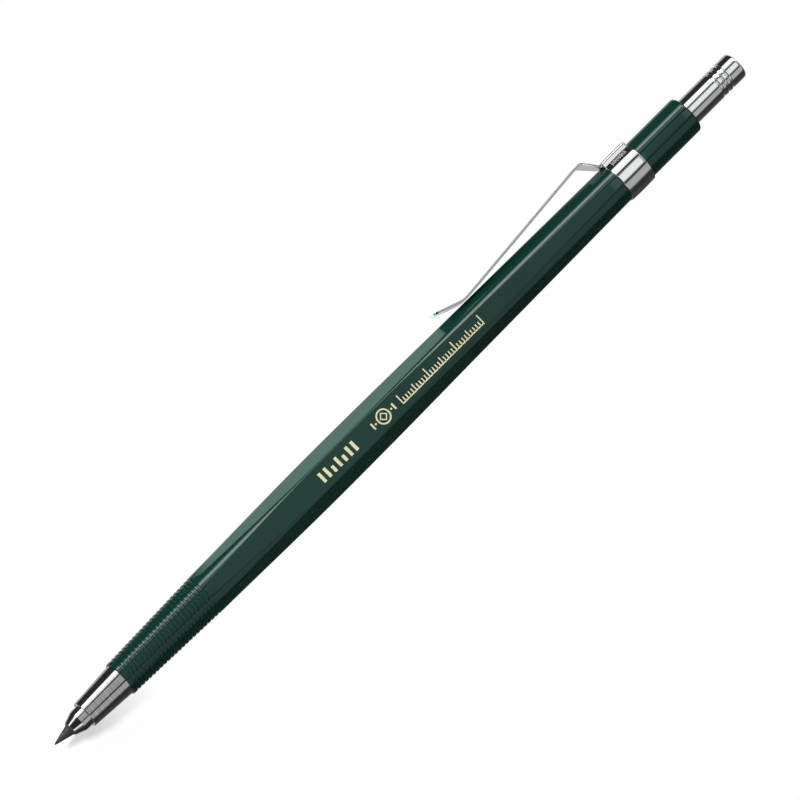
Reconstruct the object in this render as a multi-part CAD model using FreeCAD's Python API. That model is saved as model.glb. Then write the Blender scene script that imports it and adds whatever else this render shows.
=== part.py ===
import FreeCAD, Part
import math
import os

# A clutch lead holder for standard 2 mm drafting leads, in millimetres.
# The X axis is the pencil's own axis and runs from the writing point to the push cap.
# The origin is the writing point, +Z leaves the printed facet and +Y leaves the clip.

os.makedirs("parts", exist_ok=True)

# ---------------------------------------------------------------- driving dimensions

# Clearances between pieces that move on each other, all radial or across a gap.
grip_clearance = 0.02
seat_clearance = 0.02
slide_clearance = 0.07
cap_bore_clearance = 0.08
tongue_clearance = 0.08
flexure_gap = 0.06
rest_gap = 0.02

# What counts as the same place when edges are joined or picked.
same_place = 1e-6
edge_tolerance = 0.01

# Lead.
lead_radius = 1.0
lead_showing = 6.34
lead_cone_length = 4.0
lead_tip_radius = 0.15
lead_end_room = 16.0

# Nose sleeve.
sleeve_cone_length = 7.6
sleeve_mouth_wall = 0.40
sleeve_shoulder_step = 0.50
sleeve_rim_rounding = 0.16
sleeve_spigot_length = 7.0
sleeve_spigot_step = 0.12
sleeve_wall = 0.45
seat_depth = 1.5
seat_taper = 0.2
seat_relief = 0.6

# Threaded brass insert in the barrel's front end.
insert_length = 8.0
insert_wall = 0.26
insert_groove_width = 0.52
insert_groove_depth = 0.085

# Barrel.
barrel_length = 122.65
barrel_lip_rounding = 0.15
grip_length = 18.6
grip_wall = 0.49
grip_flare = 0.55
groove_margin = 0.6
groove_pitch = 0.76
groove_width = 0.44
groove_depth = 0.13
crown_swell = 0.34
crown_from_grip = 26.5
waist_swell = 0.28
waist_from_shoulder = 29.5
shoulder_step = 0.08
facet_count = 6
facet_cut_front = 0.08
facet_cut_rear = 0.04
spigot_length = 15.35
spigot_wall = 0.84
spigot_rounding = 0.45
ring_seat_taper = 0.04

# Clip ring.
ring_length = 4.9
ring_wall = 0.24
ring_swell = 0.06
ring_rounding = 0.12
saddle_wall = 0.18
saddle_rounding = 0.30

# Pocket clip.
clip_thickness = 0.34
clip_tongue_width = 3.0
clip_tongue_length = 2.0
clip_step_width = 4.8
clip_tip_width = 3.4
clip_arm_height = 3.02
clip_step_start = 0.2
clip_step_run = 2.4
clip_contact_reach = 29.5
clip_tip_reach = 34.6
clip_tip_lift = 1.75
clip_contact_gap = 0.03
clip_step_bend = 0.9
clip_root_bend = 0.5
clip_contact_bend = 5.0
clip_tip_rounding = 1.13

# Lead tube and what is fixed on it.
tube_wall = 0.30
tube_lead_room = 0.15
tube_back_from_barrel = 2.3
collar_length = 2.0
collar_wall = 0.70
collar_rounding = 0.15
end_bush_length = 6.4
end_bush_wall = 0.40
end_bush_rounding = 0.10
ring_groove_from_end = 3.2
friction_ring_width = 0.8
friction_ring_depth = 0.15
friction_ring_split = 0.5

# Collet: one threaded body with three spring jaws.
jaw_count = 3
jaw_slit = 0.30
jaw_face_from_mouth = 3.05
jaw_face_wall = 0.15
jaw_face_rounding = 0.06
jaw_head_wall = 0.81
jaw_nose_length = 1.75
jaw_nose_bend = 1.2
jaw_neck_wall = 0.20
jaw_flexure_from_mouth = 7.1
collet_body_length = 6.2
collet_stop_length = 1.2
collet_body_rounding = 0.15

# Return spring.
spring_wire = 0.32
spring_wire_room = 0.24
spring_length = 16.1
spring_turns = 13
washer_thickness = 0.40
washer_inset = 0.08

# Push cap.
cap_wall = 0.32
cap_length = 19.5
cap_showing = 10.85
cap_end_rounding = 0.45
cap_mouth_rounding = 0.10
cap_end_wall = 1.3
cap_inside_rounding = 0.30
cap_groove_count = 3
cap_groove_pitch = 0.95
cap_groove_from_end = 2.75
cap_groove_width = 0.50
cap_groove_depth = 0.15

# Lead pointer inside the push cap.
pointer_length = 8.6
pointer_step = 0.17
pointer_mouth_length = 0.9
pointer_cone_length = 6.4
pointer_hole_radius = 0.20
blade_count = 3
blade_thickness = 0.25
blade_height = 0.65
blade_cover = 0.10

# ---------------------------------------------------------------- places along the axis

AXIS = FreeCAD.Vector(1, 0, 0)
ORIGIN = FreeCAD.Vector(0, 0, 0)

mouth_x = lead_showing
barrel_front = mouth_x + sleeve_cone_length
barrel_rear = barrel_front + barrel_length
shoulder_x = barrel_rear - spigot_length
grip_rear = barrel_front + grip_length
sleeve_rear = barrel_front + sleeve_spigot_length
flexure_x = mouth_x + jaw_flexure_from_mouth
spring_front = sleeve_rear + washer_thickness
spring_rear = spring_front + spring_length
tube_rear = barrel_rear - tube_back_from_barrel
cap_rear = barrel_rear + cap_showing
cap_front = cap_rear - cap_length
ring_rear = shoulder_x + ring_length

# ---------------------------------------------------------------- shared radii

# From the lead outwards to the barrel's bore.
tube_bore_radius = lead_radius + tube_lead_room
tube_radius = tube_bore_radius + tube_wall
end_bush_radius = tube_radius + end_bush_wall
cap_bore_radius = end_bush_radius + slide_clearance
cap_radius = cap_bore_radius + cap_wall
pointer_radius = cap_bore_radius - pointer_step
bore_radius = cap_radius + cap_bore_clearance
spring_middle_radius = tube_radius + spring_wire_room + spring_wire / 2

# The collet's jaws and the sleeve that closes them.
jaw_bore_radius = lead_radius + grip_clearance
jaw_head_radius = jaw_bore_radius + jaw_head_wall
jaw_neck_radius = tube_bore_radius + jaw_neck_wall
seat_mouth_radius = jaw_head_radius + seat_clearance
sleeve_mouth_radius = seat_mouth_radius + sleeve_mouth_wall
sleeve_spigot_radius = bore_radius - sleeve_spigot_step
sleeve_bore_radius = sleeve_spigot_radius - sleeve_wall
sleeve_shoulder_radius = sleeve_spigot_radius + sleeve_shoulder_step

# From the bore outwards to the barrel's surface.
grip_front_radius = sleeve_spigot_radius + insert_wall + grip_wall
grip_rear_radius = grip_front_radius + grip_flare
crown_radius = grip_rear_radius + crown_swell
spigot_radius = bore_radius + spigot_wall
shoulder_radius = spigot_radius + shoulder_step
waist_radius = shoulder_radius + waist_swell
facet_apothem_front = grip_rear_radius - facet_cut_front
facet_apothem_rear = shoulder_radius - facet_cut_rear
ring_seat_radius = spigot_radius + ring_seat_taper
ring_edge_radius = ring_seat_radius + ring_wall
ring_middle_radius = ring_edge_radius + ring_swell


# ---------------------------------------------------------------- drawing helpers

def outline(corners):
    """A closed wire through (x, y, rounding) corners, where a rounding is a tangent arc."""
    entries = []
    exits = []
    edges = []
    for index, (x, y, rounding) in enumerate(corners):
        here = FreeCAD.Vector(x, y, 0)
        before = FreeCAD.Vector(*corners[index - 1][:2], 0) - here
        after = FreeCAD.Vector(*corners[(index + 1) % len(corners)][:2], 0) - here
        before.normalize()
        after.normalize()
        if rounding == 0:
            entries.append(here)
            exits.append(here)
            continue
        half_angle = before.getAngle(after) / 2
        inward = (before + after).normalize()
        trim = rounding / math.tan(half_angle)
        entry = here + before * trim
        leave = here + after * trim
        middle = here + inward * (rounding / math.sin(half_angle) - rounding)
        entries.append(entry)
        exits.append(leave)
        edges.append(Part.Arc(entry, middle, leave).toShape())
    for index, leave in enumerate(exits):
        entry = entries[(index + 1) % len(entries)]
        if leave.distanceToPoint(entry) > same_place:
            edges.append(Part.LineSegment(leave, entry).toShape())
    return Part.Wire(Part.__sortEdges__(edges))


def turned(corners):
    """A solid of revolution about the X axis from (x, radius, rounding) corners."""
    return Part.Face(outline(corners)).revolve(ORIGIN, AXIS, 360)


def ring(start, end, inner, outer, rounding=0):
    """A plain tube along X, with its outer edges rounded."""
    return turned([
        (start, inner, 0),
        (start, outer, rounding),
        (end, outer, rounding),
        (end, inner, 0),
    ])


def round_groove(x, surface_radius, width, depth):
    """The cutter for a groove that is an arc of this width and depth in a turned surface."""
    arc_radius = (width * width / 4 + depth * depth) / (2 * depth)
    centre_radius = surface_radius - depth + arc_radius
    return Part.makeTorus(centre_radius, arc_radius, FreeCAD.Vector(x, 0, 0), AXIS)


def around(shape, index, count):
    """The shape turned to its place in a ring of this many about the X axis."""
    copy = shape.copy()
    copy.rotate(ORIGIN, AXIS, 360 * index / count)
    return copy


def box(start, end, half_width_y, half_width_z, centre_y=0):
    """A block along X, centred on z = 0."""
    corner = FreeCAD.Vector(start, centre_y - half_width_y, -half_width_z)
    return Part.makeBox(end - start, 2 * half_width_y, 2 * half_width_z, corner)


# ---------------------------------------------------------------- barrel

def grip_radius_at(x):
    share = (x - barrel_front) / grip_length
    return grip_front_radius + share * (grip_rear_radius - grip_front_radius)


def ribbed_grip():
    """The tapered finger grip, with its ring of shallow grooves."""
    blank = turned([
        (barrel_front, 0, 0),
        (barrel_front, grip_front_radius, barrel_lip_rounding),
        (grip_rear, grip_rear_radius, 0),
        (grip_rear, 0, 0),
    ])
    gaps = math.floor((grip_length - 2 * groove_margin) / groove_pitch)
    first = barrel_front + (grip_length - gaps * groove_pitch) / 2
    cutters = []
    for index in range(gaps + 1):
        x = first + index * groove_pitch
        cutters.append(round_groove(x, grip_radius_at(x), groove_width, groove_depth))
    return blank.cut(cutters)


def turned_crown():
    """The long turned shape that the facets are cut in: fullest in front, slender behind."""
    crown_line = Part.BSplineCurve()
    crown_line.interpolate([
        FreeCAD.Vector(grip_rear, grip_rear_radius, 0),
        FreeCAD.Vector(grip_rear + crown_from_grip, crown_radius, 0),
        FreeCAD.Vector(shoulder_x - waist_from_shoulder, waist_radius, 0),
        FreeCAD.Vector(shoulder_x, shoulder_radius, 0),
    ])
    rear_edge = FreeCAD.Vector(shoulder_x, 0, 0)
    front_edge = FreeCAD.Vector(grip_rear, 0, 0)
    lines = Part.makePolygon([
        FreeCAD.Vector(shoulder_x, shoulder_radius, 0),
        rear_edge,
        front_edge,
        FreeCAD.Vector(grip_rear, grip_rear_radius, 0),
    ])
    wire = Part.Wire([crown_line.toShape()] + lines.Edges)
    return Part.Face(wire).revolve(ORIGIN, AXIS, 360)


def facet_hexagon(x, apothem):
    """The corners of one section of the hexagon, with a flat towards +Z and another towards -Z."""
    corner_radius = apothem / math.cos(math.pi / facet_count)
    points = []
    for index in range(facet_count + 1):
        turn = 2 * math.pi * index / facet_count
        points.append(FreeCAD.Vector(x, corner_radius * math.cos(turn), corner_radius * math.sin(turn)))
    return points


def faceted_body():
    """The barrel's body: six flats that taper gently, cut in the turned crown."""
    front = facet_hexagon(grip_rear, facet_apothem_front)
    rear = facet_hexagon(shoulder_x, facet_apothem_rear)
    faces = [Part.Face(Part.makePolygon(front)), Part.Face(Part.makePolygon(rear))]
    for index in range(facet_count):
        side = [front[index], front[index + 1], rear[index + 1], rear[index], front[index]]
        faces.append(Part.Face(Part.makePolygon(side)))
    return turned_crown().common(Part.Solid(Part.Shell(faces)))


def barrel():
    rear_spigot = turned([
        (shoulder_x, 0, 0),
        (shoulder_x, ring_seat_radius, 0),
        (ring_rear, spigot_radius, 0),
        (barrel_rear, spigot_radius, spigot_rounding),
        (barrel_rear, 0, 0),
    ])
    solid = faceted_body().fuse([ribbed_grip(), rear_spigot])
    bore = Part.makeCylinder(bore_radius, barrel_length, FreeCAD.Vector(barrel_front, 0, 0), AXIS)
    insert_seat = Part.makeCylinder(
        sleeve_spigot_radius + insert_wall, insert_length, FreeCAD.Vector(barrel_front, 0, 0), AXIS
    )
    return solid.cut([bore, insert_seat]).removeSplitter()


def front_insert():
    """The brass bush that the nose sleeve screws into, with a groove that keys it in the barrel."""
    outer = sleeve_spigot_radius + insert_wall
    bush = ring(barrel_front, barrel_front + insert_length, sleeve_spigot_radius, outer)
    middle = barrel_front + insert_length / 2
    return bush.cut(round_groove(middle, outer, insert_groove_width, insert_groove_depth))


# ---------------------------------------------------------------- nose sleeve

def nose_sleeve():
    """The conical metal nose, with the jaw seat in its mouth and its screw spigot behind."""
    seat_bottom = seat_mouth_radius - seat_taper * seat_depth
    return turned([
        (mouth_x, seat_mouth_radius, 0),
        (mouth_x, sleeve_mouth_radius, sleeve_rim_rounding),
        (barrel_front, sleeve_shoulder_radius, 0),
        (barrel_front, sleeve_spigot_radius, 0),
        (sleeve_rear, sleeve_spigot_radius, 0),
        (sleeve_rear, sleeve_bore_radius, 0),
        (mouth_x + seat_depth + seat_relief, sleeve_bore_radius, 0),
        (mouth_x + seat_depth, seat_bottom, 0),
    ])


def spring_seat_washer():
    inner = tube_radius + slide_clearance
    return ring(sleeve_rear, spring_front, inner, sleeve_spigot_radius - washer_inset)


# ---------------------------------------------------------------- clip ring and clip

tongue_bottom = shoulder_radius + clip_contact_gap
tongue_top = tongue_bottom + clip_thickness
channel_top = tongue_top + tongue_clearance
saddle_top = channel_top + saddle_wall
channel_half_width = clip_tongue_width / 2 + tongue_clearance
saddle_half_width = channel_half_width + saddle_wall + saddle_rounding / 2
tongue_rear = shoulder_x + clip_tongue_length


def clip_ring():
    """The band pressed on the barrel's tapered seat, raised into a saddle over the clip's tongue."""
    band_middle = (shoulder_x + ring_rear) / 2
    band = turned([
        (shoulder_x, 0, 0),
        (shoulder_x, ring_edge_radius, ring_rounding),
        (band_middle, ring_middle_radius, 0),
        (ring_rear, ring_edge_radius, ring_rounding),
        (ring_rear, 0, 0),
    ])
    block = box(shoulder_x, ring_rear, saddle_top / 2, saddle_half_width, saddle_top / 2)
    long_edges = []
    for edge in block.Edges:
        if edge.BoundBox.YMin > saddle_top - edge_tolerance and edge.BoundBox.XLength > ring_length / 2:
            long_edges.append(edge)
    block = block.makeFillet(saddle_rounding, long_edges)
    end_edges = []
    for edge in block.Edges:
        if edge.BoundBox.YMin > saddle_top - edge_tolerance and edge.BoundBox.XLength < edge_tolerance:
            end_edges.append(edge)
    block = block.makeFillet(ring_rounding, end_edges)
    seat = Part.makeCone(
        ring_seat_radius, spigot_radius, ring_length, FreeCAD.Vector(shoulder_x, 0, 0), AXIS
    )
    channel_end = tongue_rear + tongue_clearance
    channel = box(shoulder_x, channel_end, channel_top / 2, channel_half_width, channel_top / 2)
    return band.fuse(block).cut([seat, channel]).removeSplitter()


def offset_corners(path, distance):
    """The mitred points at this distance to the left of an open path of (x, y) points."""
    normals = []
    for (x0, y0), (x1, y1) in zip(path, path[1:]):
        length = math.hypot(x1 - x0, y1 - y0)
        normals.append(((y0 - y1) / length, (x1 - x0) / length))
    moved = []
    for index, (x, y) in enumerate(path):
        first = normals[max(index - 1, 0)]
        second = normals[min(index, len(normals) - 1)]
        spread = 1 + first[0] * second[0] + first[1] * second[1]
        step_x = distance * (first[0] + second[0]) / spread
        step_y = distance * (first[1] + second[1]) / spread
        moved.append((x + step_x, y + step_y))
    return moved


def crown_radius_near(x):
    """The barrel's outer radius where the clip touches it, taken on the straight rear stretch."""
    share = (shoulder_x - x) / waist_from_shoulder
    return shoulder_radius + share * (waist_radius - shoulder_radius)


def pocket_clip():
    """One bent strip: tongue, step, long arm, contact bend and a tip turned up."""
    middle = (tongue_bottom + tongue_top) / 2
    contact_x = shoulder_x - clip_contact_reach
    contact_y = crown_radius_near(contact_x) + clip_contact_gap + clip_thickness / 2
    path = [
        (tongue_rear, middle),
        (shoulder_x - clip_step_start, middle),
        (shoulder_x - clip_step_run, spigot_radius + clip_arm_height - clip_thickness / 2),
        (contact_x, contact_y),
        (shoulder_x - clip_tip_reach, contact_y + clip_tip_lift),
    ]
    bends = [0, clip_root_bend, clip_step_bend, clip_contact_bend, 0]
    turns = [0, -1, 1, -1, 0]
    half = clip_thickness / 2
    upper = []
    lower = []
    for (x, y), bend, turn in zip(offset_corners(path, -half), bends, turns):
        upper.append((x, y, max(bend + turn * half, 0)))
    for (x, y), bend, turn in zip(offset_corners(path, half), bends, turns):
        lower.append((x, y, max(bend - turn * half, 0)))
    side = Part.Face(outline(upper + lower[::-1]))
    strip = side.extrude(FreeCAD.Vector(0, 0, clip_step_width))
    strip.translate(FreeCAD.Vector(0, 0, -clip_step_width / 2))

    tip_x = shoulder_x - clip_tip_reach
    step_x = shoulder_x - clip_step_run
    plan = outline([
        (tip_x - clip_thickness, -clip_tip_width / 2, clip_tip_rounding),
        (step_x, -clip_step_width / 2, clip_step_bend),
        (shoulder_x - clip_step_start, -clip_tongue_width / 2, 0),
        (tongue_rear, -clip_tongue_width / 2, clip_thickness),
        (tongue_rear, clip_tongue_width / 2, clip_thickness),
        (shoulder_x - clip_step_start, clip_tongue_width / 2, 0),
        (step_x, clip_step_width / 2, clip_step_bend),
        (tip_x - clip_thickness, clip_tip_width / 2, clip_tip_rounding),
    ])
    blank = Part.Face(plan).extrude(FreeCAD.Vector(0, 0, 4 * clip_arm_height))
    blank.rotate(ORIGIN, AXIS, -90)
    return strip.common(blank)


# ---------------------------------------------------------------- collet and lead

jaw_face_x = mouth_x - jaw_face_from_mouth


def collet_jaw(index):
    """One of the jaws: a tapered head on a thin neck, cut from a ring by the slits."""
    head_rear = mouth_x + seat_depth
    head_rear_radius = jaw_head_radius - seat_taper * seat_depth
    whole = turned([
        (jaw_face_x, jaw_bore_radius, 0),
        (jaw_face_x, jaw_bore_radius + jaw_face_wall, jaw_face_rounding),
        (jaw_face_x + jaw_nose_length, jaw_head_radius, jaw_nose_bend),
        (mouth_x, jaw_head_radius, 0),
        (head_rear, head_rear_radius, 0),
        (head_rear + seat_relief / 2, jaw_neck_radius, 0),
        (flexure_x - flexure_gap / 2, jaw_neck_radius, 0),
        (flexure_x - flexure_gap / 2, tube_bore_radius, 0),
        (head_rear + seat_relief / 2, tube_bore_radius, 0),
        (head_rear, jaw_bore_radius, 0),
    ])
    half_turn = math.pi / jaw_count
    apex = jaw_slit / 2 / math.sin(half_turn)
    reach = 4 * jaw_head_radius
    wedge = Part.makePolygon([
        FreeCAD.Vector(0, 0, apex),
        FreeCAD.Vector(0, reach * math.sin(half_turn), apex + reach * math.cos(half_turn)),
        FreeCAD.Vector(0, 0, 2 * reach),
        FreeCAD.Vector(0, -reach * math.sin(half_turn), apex + reach * math.cos(half_turn)),
        FreeCAD.Vector(0, 0, apex),
    ])
    sector = Part.Face(wedge).extrude(AXIS * (flexure_x + flexure_gap))
    return whole.common(around(sector, index, jaw_count))


def collet_body():
    """The collet's solid root, screwed over the front end of the lead tube."""
    front = flexure_x + flexure_gap / 2
    outer = sleeve_bore_radius - slide_clearance
    return turned([
        (front, tube_bore_radius, 0),
        (front, outer, collet_body_rounding),
        (front + collet_body_length, outer, collet_body_rounding),
        (front + collet_body_length, tube_radius, 0),
        (front + collet_stop_length, tube_radius, 0),
        (front + collet_stop_length, tube_bore_radius, 0),
    ])


def lead():
    """The graphite rod, sharpened to a rounded point."""
    slope = math.atan2(lead_radius, lead_cone_length)
    centre_x = lead_tip_radius
    tangent_x = centre_x - lead_tip_radius * math.sin(slope)
    tangent_y = lead_tip_radius * math.cos(slope)
    shoulder = tangent_x + (lead_radius - tangent_y) / math.tan(slope)
    middle = math.pi * 3 / 4 + slope / 2
    tip = Part.Arc(
        FreeCAD.Vector(0, 0, 0),
        FreeCAD.Vector(
            centre_x + lead_tip_radius * math.cos(middle), lead_tip_radius * math.sin(middle), 0
        ),
        FreeCAD.Vector(tangent_x, tangent_y, 0),
    )
    rear = tube_rear - lead_end_room
    lines = Part.makePolygon([
        FreeCAD.Vector(tangent_x, tangent_y, 0),
        FreeCAD.Vector(shoulder, lead_radius, 0),
        FreeCAD.Vector(rear, lead_radius, 0),
        FreeCAD.Vector(rear, 0, 0),
        FreeCAD.Vector(0, 0, 0),
    ])
    return Part.Face(Part.Wire([tip.toShape()] + lines.Edges)).revolve(ORIGIN, AXIS, 360)


# ---------------------------------------------------------------- lead tube and spring

def lead_tube():
    front = flexure_x + flexure_gap / 2 + collet_stop_length
    return ring(front, tube_rear, tube_bore_radius, tube_radius)


def spring_collar():
    """The collar pressed on the tube that the return spring pushes against."""
    rear = spring_rear + collar_length
    return ring(spring_rear, rear, tube_radius, tube_radius + collar_wall, collar_rounding)


def return_spring():
    """A compression spring round the tube, from the washer to the collar."""
    inset = spring_wire / 2 + rest_gap
    height = spring_length - 2 * inset
    helix = Part.makeHelix(height / spring_turns, height, spring_middle_radius)
    section = Part.Wire(Part.makeCircle(
        spring_wire / 2, FreeCAD.Vector(spring_middle_radius, 0, 0), FreeCAD.Vector(0, 1, 0)
    ))
    coil = Part.Wire(helix.Edges).makePipeShell([section], True, True)
    coil.rotate(ORIGIN, FreeCAD.Vector(0, 1, 0), 90)
    coil.translate(AXIS * (spring_front + inset))
    return coil


def friction_ring_groove(depth):
    middle = tube_rear - ring_groove_from_end
    start = middle - friction_ring_width / 2
    end = middle + friction_ring_width / 2
    outer = end_bush_radius + slide_clearance - rest_gap
    return ring(start, end, end_bush_radius - depth, outer)


def tube_end_bush():
    """The bush on the tube's back end that carries the push cap."""
    rear = tube_rear + tube_wall
    bush = ring(rear - end_bush_length, rear, tube_radius, end_bush_radius, end_bush_rounding)
    lip = ring(tube_rear, rear, tube_bore_radius, tube_radius)
    return bush.fuse(lip).cut(friction_ring_groove(friction_ring_depth)).removeSplitter()


def friction_ring():
    """The split spring ring in the bush's groove that holds the cap by friction."""
    split = box(cap_front, tube_rear, bore_radius, friction_ring_split / 2, bore_radius)
    return friction_ring_groove(friction_ring_depth).cut(split)


# ---------------------------------------------------------------- push cap and pointer

pointer_front = tube_rear + tube_wall + rest_gap


def push_cap():
    """The metal cap: open in front, closed behind, with grip grooves near its end."""
    shell = turned([
        (cap_front, cap_bore_radius, 0),
        (cap_front, cap_radius, cap_mouth_rounding),
        (cap_rear, cap_radius, cap_end_rounding),
        (cap_rear, 0, 0),
        (cap_rear - cap_end_wall, 0, 0),
        (cap_rear - cap_end_wall, pointer_radius, cap_inside_rounding),
        (pointer_front, pointer_radius, 0),
        (pointer_front, cap_bore_radius, 0),
    ])
    cutters = []
    for index in range(cap_groove_count):
        x = cap_rear - cap_groove_from_end - index * cap_groove_pitch
        cutters.append(round_groove(x, cap_radius, cap_groove_width, cap_groove_depth))
    return shell.cut(cutters)


def pointer_blade(index):
    """One steel blade, its edge just inside the pointer's cone and its back in a slot."""
    cone_front = pointer_front + pointer_mouth_length
    cone_rear = cone_front + pointer_cone_length
    front_radius = lead_radius + grip_clearance
    plate = Part.Face(Part.makePolygon([
        FreeCAD.Vector(cone_front, front_radius, 0),
        FreeCAD.Vector(cone_rear, pointer_hole_radius, 0),
        FreeCAD.Vector(cone_rear, pointer_hole_radius + blade_height, 0),
        FreeCAD.Vector(cone_front, pointer_radius - blade_cover, 0),
        FreeCAD.Vector(cone_front, front_radius, 0),
    ]))
    blade = plate.extrude(FreeCAD.Vector(0, 0, blade_thickness))
    blade.translate(FreeCAD.Vector(0, 0, -blade_thickness / 2))
    return around(blade, index, blade_count)


def pointer_blades():
    return Part.makeCompound([pointer_blade(index) for index in range(blade_count)])


def pointer_guide():
    """The plastic guide with the cone that sharpens the lead, slotted for the blades."""
    cone_front = pointer_front + pointer_mouth_length
    cone_rear = cone_front + pointer_cone_length
    mouth_radius = tube_bore_radius
    guide = turned([
        (pointer_front, mouth_radius, 0),
        (pointer_front, pointer_radius, 0),
        (pointer_front + pointer_length, pointer_radius, 0),
        (pointer_front + pointer_length, pointer_hole_radius, 0),
        (cone_rear, pointer_hole_radius, 0),
        (cone_front, mouth_radius, 0),
    ])
    return guide.cut([pointer_blade(index) for index in range(blade_count)])


# ---------------------------------------------------------------- writing the parts

def save(name, shape):
    shape.exportStep("parts/" + name + ".step")


save("barrel", barrel())
save("front_insert", front_insert())
save("nose_sleeve", nose_sleeve())
save("spring_seat_washer", spring_seat_washer())
save("clip_ring", clip_ring())
save("pocket_clip", pocket_clip())
for number in range(jaw_count):
    save("collet_jaw_" + str(number + 1), collet_jaw(number))
save("collet_body", collet_body())
save("lead", lead())
save("lead_tube", lead_tube())
save("spring_collar", spring_collar())
save("return_spring", return_spring())
save("tube_end_bush", tube_end_bush())
save("friction_ring", friction_ring())
save("push_cap", push_cap())
save("pointer_guide", pointer_guide())
save("pointer_blades", pointer_blades())
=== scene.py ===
import math

import bpy
from mathutils import Matrix, Vector


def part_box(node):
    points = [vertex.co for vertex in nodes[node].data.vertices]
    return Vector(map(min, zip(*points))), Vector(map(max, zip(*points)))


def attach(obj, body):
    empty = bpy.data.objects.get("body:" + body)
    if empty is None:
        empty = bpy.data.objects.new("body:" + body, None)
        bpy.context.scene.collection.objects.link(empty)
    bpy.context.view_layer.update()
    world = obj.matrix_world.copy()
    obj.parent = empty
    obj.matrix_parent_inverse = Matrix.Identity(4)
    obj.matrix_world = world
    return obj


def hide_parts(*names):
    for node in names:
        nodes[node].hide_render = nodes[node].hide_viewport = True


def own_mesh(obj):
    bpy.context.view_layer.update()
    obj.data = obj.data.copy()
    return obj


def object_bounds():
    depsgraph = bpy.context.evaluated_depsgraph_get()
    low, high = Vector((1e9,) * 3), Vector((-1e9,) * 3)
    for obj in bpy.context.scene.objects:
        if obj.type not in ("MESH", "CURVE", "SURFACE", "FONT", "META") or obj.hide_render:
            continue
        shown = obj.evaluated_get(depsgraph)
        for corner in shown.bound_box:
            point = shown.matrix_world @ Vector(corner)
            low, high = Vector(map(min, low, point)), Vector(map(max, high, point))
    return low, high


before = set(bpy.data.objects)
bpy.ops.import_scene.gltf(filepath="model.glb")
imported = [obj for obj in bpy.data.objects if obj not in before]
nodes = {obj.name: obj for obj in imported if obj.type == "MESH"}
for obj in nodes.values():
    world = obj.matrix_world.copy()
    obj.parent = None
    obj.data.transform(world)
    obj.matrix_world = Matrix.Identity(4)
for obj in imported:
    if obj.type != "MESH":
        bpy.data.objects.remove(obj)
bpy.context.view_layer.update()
MM = 0.001


# Camera.
# A long lens looks square at the printed facet, with the writing end tipped towards it.
# The pencil runs up and to the right across the picture.

VIEW_WIDTH = 118.9 * MM
VIEW_DISTANCE = 2.5
VIEW_TILT = math.radians(14.0)
VIEW_ROLL = math.radians(44.96)
VIEW_CENTRE_SHARE = 0.5032

pencil_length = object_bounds()[1].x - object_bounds()[0].x
aim = Vector((pencil_length * VIEW_CENTRE_SHARE, 0, 0))
towards_camera = Vector((-math.sin(VIEW_TILT), 0, math.cos(VIEW_TILT)))
along = Vector((math.cos(VIEW_TILT), 0, math.sin(VIEW_TILT)))
across = Vector((0, 1, 0))
picture_right = along * math.cos(VIEW_ROLL) - across * math.sin(VIEW_ROLL)
picture_up = along * math.sin(VIEW_ROLL) + across * math.cos(VIEW_ROLL)

camera_data = bpy.data.cameras.new("camera")
camera_data.sensor_width = 36
camera_data.lens = camera_data.sensor_width * VIEW_DISTANCE / VIEW_WIDTH
camera_data.clip_end = 20
camera = bpy.data.objects.new("camera", camera_data)
bpy.context.scene.collection.objects.link(camera)
turn = Matrix((picture_right, picture_up, towards_camera)).transposed().to_4x4()
camera.matrix_world = Matrix.Translation(aim + towards_camera * VIEW_DISTANCE) @ turn
bpy.context.scene.camera = camera


# Barrel.
# One moulding in dark green gloss plastic: a ribbed grip, six long flats and a round back end.
# It is turned on the pencil's axis, then the flats are pressed in with softly rounded edges.

barrel_low, barrel_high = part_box("barrel")
ring_low, ring_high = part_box("clip_ring")
GRIP_LENGTH = 18.6
GRIP_FRONT_RADIUS = 2.95
GRIP_REAR_RADIUS = 3.50
GROOVE_COUNT = 23
GROOVE_PITCH = 0.76
GROOVE_WIDTH = 0.44
GROOVE_DEPTH = 0.13
GROOVE_STEPS = 6
LIP_ROUNDING = 0.15
CROWN_RADIUS = 3.84
CROWN_FROM_GRIP = 26.5
WAIST_RADIUS = 3.52
WAIST_FROM_RING = 29.5
SHOULDER_RADIUS = 3.24
FACET_APOTHEM_FRONT = 3.42
FACET_APOTHEM_REAR = 3.20
FACET_SOFTNESS = 0.022
SPIGOT_RADIUS = 3.16
SPIGOT_ROUNDING = 0.45
BORE_RADIUS = 2.32
FLATS = 6
BARREL_SEGMENTS = 240
CROWN_STEPS = 110
MERGE_DISTANCE = 0.0005

barrel_front = barrel_low.x / MM
barrel_rear = barrel_high.x / MM
ring_front = ring_low.x / MM
ring_rear = ring_high.x / MM
grip_rear = barrel_front + GRIP_LENGTH


def rounded(corners, step=math.radians(9)):
    """The outline's points, with each (x, radius, rounding) corner replaced by a tangent arc."""
    points = []
    for index, (x, y, rounding) in enumerate(corners):
        here = Vector((x, y))
        if rounding == 0:
            points.append(here)
            continue
        before = (Vector(corners[index - 1][:2]) - here).normalized()
        after = (Vector(corners[(index + 1) % len(corners)][:2]) - here).normalized()
        half_angle = before.angle(after) / 2
        centre = here + (before + after).normalized() * (rounding / math.sin(half_angle))
        start = here + before * (rounding / math.tan(half_angle)) - centre
        sweep = start.angle_signed(here + after * (rounding / math.tan(half_angle)) - centre)
        count = max(2, math.ceil(abs(sweep) / step))
        for part in range(count + 1):
            turned = Matrix.Rotation(-sweep * part / count, 2) @ start
            points.append(centre + turned)
    return points


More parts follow.
